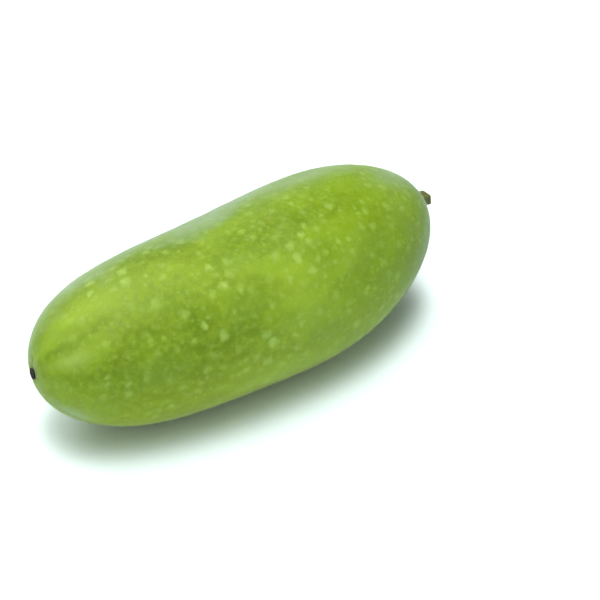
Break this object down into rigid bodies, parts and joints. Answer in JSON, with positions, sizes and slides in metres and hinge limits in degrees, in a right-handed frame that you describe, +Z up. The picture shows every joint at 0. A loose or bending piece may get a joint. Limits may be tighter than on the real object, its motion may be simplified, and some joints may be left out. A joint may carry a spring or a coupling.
{
  "type": "winter melon",
  "caption": "Long, slightly bent winter melon lying on its side, matte green, with a short cut stalk stub at its thick end and a small dark blossom scar at its narrow end.",
  "frame": {"origin": "on the ground, under the middle of the whole object's bounding box", "axes": "+X along the fruit from the blossom scar to the stalk stub, +Z up with the fruit lying on its rest spot, +Y towards the hollow side of its bend"},
  "size_m": [0.3552, 0.1328, 0.1286],
  "materials": {
    "fruit_skin": "matte, with a thin pale down",
    "stem_stub_bark": "dry, rough, ribbed",
    "dried_scar": "dry, rough, nearly black"
  },
  "bodies": {
    "root": {"fruit": "fruit_skin", "stem_stub": "stem_stub_bark", "blossom_scar": "dried_scar"}
  },
  "joints": []
}
